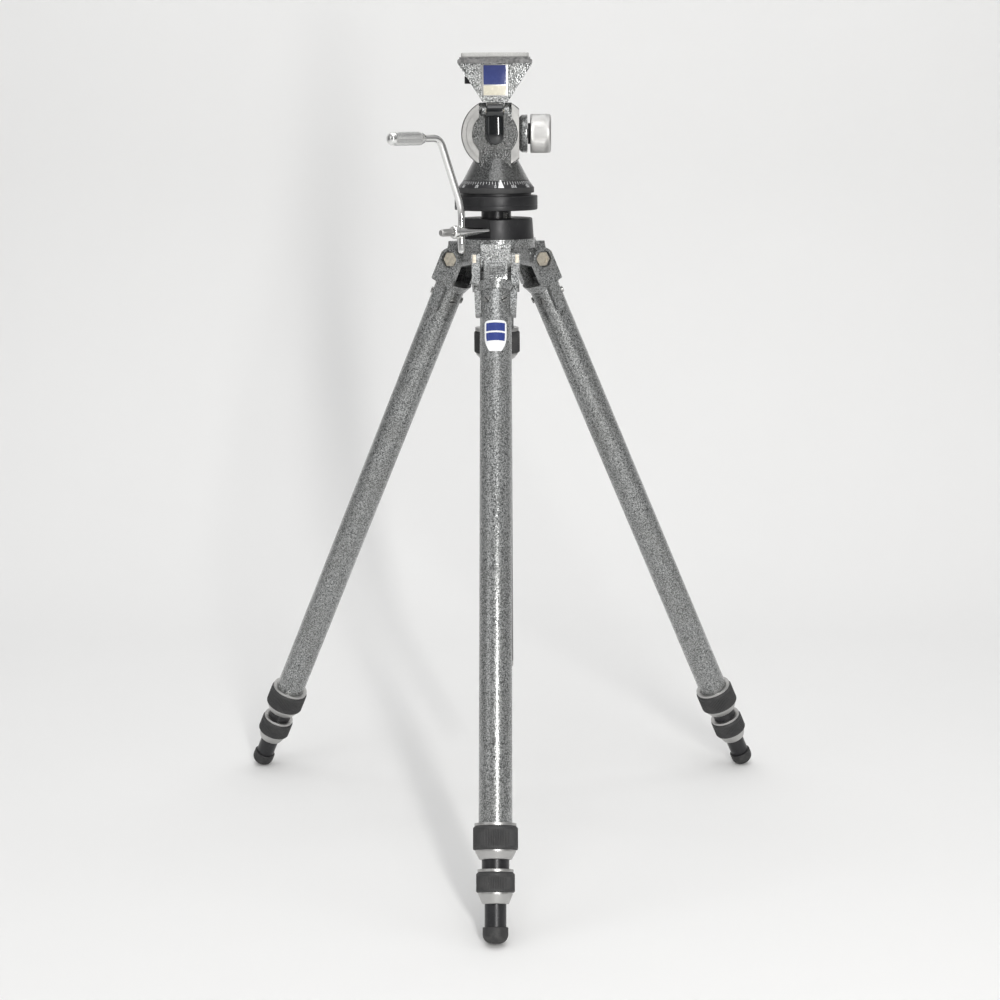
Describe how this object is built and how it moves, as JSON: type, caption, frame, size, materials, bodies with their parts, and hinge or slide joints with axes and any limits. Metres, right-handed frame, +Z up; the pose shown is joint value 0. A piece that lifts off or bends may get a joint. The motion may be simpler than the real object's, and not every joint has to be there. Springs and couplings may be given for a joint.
{
  "type": "camera tripod",
  "caption": "Folding camera tripod with telescoping twist-lock legs, a geared centre column with a crank, and a pan and tilt head.",
  "frame": {"origin": "middle of the footprint's box, on the ground; the column stands 72.2 mm behind it", "axes": "+Z up along the column, front leg towards -Y, clamp knob towards +X"},
  "size_m": [0.5214, 0.4544, 0.719],
  "materials": {
    "hammertone_paint": "grey hammertone enamel on cast aluminium",
    "satin_aluminium": "satin turned aluminium",
    "chrome_plate": "bright chrome plate",
    "rubber": "matt black ribbed rubber",
    "pad_rubber": "grey anti-slip pad",
    "black_anodised": "black anodised",
    "nickel_steel": "nickel plated",
    "brass": "machined",
    "black_gloss_plastic": "gloss black",
    "badge_enamel": "blue and cream enamel, no lettering"
  },
  "bodies": {
    "chassis": {"spider": "hammertone_paint", "pivot_bolts": "nickel_steel", "gear_housing": "black_anodised", "housing_sleeve": "black_anodised"},
    "front_leg": {"front_fork": "hammertone_paint", "front_upper_tube": "hammertone_paint"},
    "front_tab": {"front_stop_tab": "hammertone_paint"},
    "front_upper_lock": {"front_upper_lock_nut": "satin_aluminium", "front_upper_lock_grip": "rubber"},
    "front_middle": {"front_middle_tube": "black_anodised"},
    "front_lower_lock": {"front_lower_lock_nut": "satin_aluminium", "front_lower_lock_grip": "rubber"},
    "front_lower": {"front_lower_tube": "black_anodised", "front_foot": "rubber"},
    "right_leg": {"right_fork": "hammertone_paint", "right_upper_tube": "hammertone_paint"},
    "right_tab": {"right_stop_tab": "hammertone_paint"},
    "right_upper_lock": {"right_upper_lock_nut": "satin_aluminium", "right_upper_lock_grip": "rubber"},
    "right_middle": {"right_middle_tube": "black_anodised"},
    "right_lower_lock": {"right_lower_lock_nut": "satin_aluminium", "right_lower_lock_grip": "rubber"},
    "right_lower": {"right_lower_tube": "black_anodised", "right_foot": "rubber"},
    "left_leg": {"left_fork": "hammertone_paint", "left_upper_tube": "hammertone_paint"},
    "left_tab": {"left_stop_tab": "hammertone_paint"},
    "left_upper_lock": {"left_upper_lock_nut": "satin_aluminium", "left_upper_lock_grip": "rubber"},
    "left_middle": {"left_middle_tube": "black_anodised"},
    "left_lower_lock": {"left_lower_lock_nut": "satin_aluminium", "left_lower_lock_grip": "rubber"},
    "left_lower": {"left_lower_tube": "black_anodised", "left_foot": "rubber"},
    "column_lock": {"column_lock_nut": "satin_aluminium", "column_lock_grip": "rubber"},
    "column": {"column_tube": "black_anodised", "column_rack": "nickel_steel", "column_end_cap": "satin_aluminium", "column_plate": "black_anodised", "pan_ring": "rubber", "scale_ring": "black_anodised", "head_stud": "nickel_steel"},
    "crank": {"pinion_shaft": "brass", "crank_hub": "chrome_plate"},
    "crank_handle": {"crank_arm": "chrome_plate", "crank_grip": "chrome_plate"},
    "crank_screw": {"hub_screw": "satin_aluminium"},
    "pan": {"pan_base": "hammertone_paint", "tilt_axle": "nickel_steel"},
    "drum": {"drum_body": "satin_aluminium", "yoke": "hammertone_paint", "yoke_pin": "nickel_steel", "clamp_boss": "hammertone_paint"},
    "clamp": {"clamp_knob": "satin_aluminium"},
    "platform": {"camera_platform": "hammertone_paint", "platform_pad": "pad_rubber", "badge_plate": "badge_enamel"},
    "screw": {"camera_screw": "black_anodised"},
    "lever": {"lock_lever": "black_gloss_plastic"}
  },
  "joints": [
    {"name": "front_leg_fold", "type": "hinge", "parent": "chassis", "child": "front_leg", "pos_m": [0, 0.03455, 0.53601], "axis": [1, 0, 0], "range_deg": [0, 25.5]},
    {"name": "front_tab_pull", "type": "slide", "parent": "front_leg", "child": "front_tab", "axis": [0, -0.9026, 0.4305], "range_m": [0, 0.005], "stiffness_N_per_m": 400, "springref_m": -0.004},
    {"name": "front_upper_lock_turn", "type": "hinge", "parent": "front_leg", "child": "front_upper_lock", "pos_m": [0, 0.03455, 0.53601], "axis": [0, -0.4305, -0.9026], "range_deg": [0, 150]},
    {"name": "front_middle_slide", "type": "slide", "parent": "front_leg", "child": "front_middle", "axis": [0, -0.4305, -0.9026], "range_m": [0, 0.39]},
    {"name": "front_lower_lock_turn", "type": "hinge", "parent": "front_middle", "child": "front_lower_lock", "pos_m": [0, 0.03455, 0.53601], "axis": [0, -0.4305, -0.9026], "range_deg": [0, 150]},
    {"name": "front_lower_slide", "type": "slide", "parent": "front_middle", "child": "front_lower", "axis": [0, -0.4305, -0.9026], "range_m": [0, 0.4]},
    {"name": "right_leg_fold", "type": "hinge", "parent": "chassis", "child": "right_leg", "pos_m": [0.03256, 0.09095, 0.53601], "axis": [-0.5, 0.866, 0], "range_deg": [0, 25.5]},
    {"name": "right_tab_pull", "type": "slide", "parent": "right_leg", "child": "right_tab", "axis": [0.7817, 0.4513, 0.4305], "range_m": [0, 0.005], "stiffness_N_per_m": 400, "springref_m": -0.004},
    {"name": "right_upper_lock_turn", "type": "hinge", "parent": "right_leg", "child": "right_upper_lock", "pos_m": [0.03256, 0.09095, 0.53601], "axis": [0.3728, 0.2153, -0.9026], "range_deg": [0, 150]},
    {"name": "right_middle_slide", "type": "slide", "parent": "right_leg", "child": "right_middle", "axis": [0.3728, 0.2153, -0.9026], "range_m": [0, 0.39]},
    {"name": "right_lower_lock_turn", "type": "hinge", "parent": "right_middle", "child": "right_lower_lock", "pos_m": [0.03256, 0.09095, 0.53601], "axis": [0.3728, 0.2153, -0.9026], "range_deg": [0, 150]},
    {"name": "right_lower_slide", "type": "slide", "parent": "right_middle", "child": "right_lower", "axis": [0.3728, 0.2153, -0.9026], "range_m": [0, 0.4]},
    {"name": "left_leg_fold", "type": "hinge", "parent": "chassis", "child": "left_leg", "pos_m": [-0.03256, 0.09095, 0.53601], "axis": [-0.5, -0.866, 0], "range_deg": [0, 25.5]},
    {"name": "left_tab_pull", "type": "slide", "parent": "left_leg", "child": "left_tab", "axis": [-0.7817, 0.4513, 0.4305], "range_m": [0, 0.005], "stiffness_N_per_m": 400, "springref_m": -0.004},
    {"name": "left_upper_lock_turn", "type": "hinge", "parent": "left_leg", "child": "left_upper_lock", "pos_m": [-0.03256, 0.09095, 0.53601], "axis": [-0.3728, 0.2153, -0.9026], "range_deg": [0, 150]},
    {"name": "left_middle_slide", "type": "slide", "parent": "left_leg", "child": "left_middle", "axis": [-0.3728, 0.2153, -0.9026], "range_m": [0, 0.39]},
    {"name": "left_lower_lock_turn", "type": "hinge", "parent": "left_middle", "child": "left_lower_lock", "pos_m": [-0.03256, 0.09095, 0.53601], "axis": [-0.3728, 0.2153, -0.9026], "range_deg": [0, 150]},
    {"name": "left_lower_slide", "type": "slide", "parent": "left_middle", "child": "left_lower", "axis": [-0.3728, 0.2153, -0.9026], "range_m": [0, 0.4]},
    {"name": "column_lock_turn", "type": "hinge", "parent": "chassis", "child": "column_lock", "pos_m": [0, 0.07215, 0.46], "axis": [0, 0, 1], "range_deg": [0, 150]},
    {"name": "column_slide", "type": "slide", "parent": "chassis", "child": "column", "axis": [0, 0, 1], "range_m": [-0.006, 0.24]},
    {"name": "crank_turn", "type": "hinge", "parent": "chassis", "child": "crank", "pos_m": [0.01273, 0.05699, 0.564], "axis": [-0.766, -0.6428, 0], "continuous": true},
    {"name": "crank_rod_slide", "type": "slide", "parent": "crank", "child": "crank_handle", "axis": [0, 0, 1], "range_m": [-0.01, 0.01]},
    {"name": "crank_screw_turn", "type": "hinge", "parent": "crank", "child": "crank_screw", "pos_m": [0.01273, 0.05699, 0.564], "axis": [-0.766, -0.6428, 0], "range_deg": [0, 360]},
    {"name": "pan_turn", "type": "hinge", "parent": "column", "child": "pan", "pos_m": [0, 0.07215, 0.6], "axis": [0, 0, 1], "continuous": true},
    {"name": "side_tilt", "type": "hinge", "parent": "pan", "child": "drum", "pos_m": [0, 0.07215, 0.6485], "axis": [0, 1, 0], "range_deg": [-90, 5]},
    {"name": "clamp_turn", "type": "hinge", "parent": "drum", "child": "clamp", "pos_m": [0.03, 0.07215, 0.6485], "axis": [1, 0, 0], "continuous": true},
    {"name": "forward_tilt", "type": "hinge", "parent": "drum", "child": "platform", "pos_m": [0, 0.07215, 0.671], "axis": [1, 0, 0], "range_deg": [-35, 6]},
    {"name": "lever_turn", "type": "hinge", "parent": "drum", "child": "lever", "pos_m": [0, 0.04615, 0.6685], "axis": [1, 0, 0], "range_deg": [-75, 0]},
    {"name": "camera_screw_turn", "type": "hinge", "parent": "platform", "child": "screw", "pos_m": [0, 0.07215, 0.7], "axis": [0, 0, 1], "range_deg": [-75, 0]}
  ],
  "couplings": [
    {"joint": "crank_turn", "follows": "column_slide", "rad_per_m": -138.89}
  ]
}
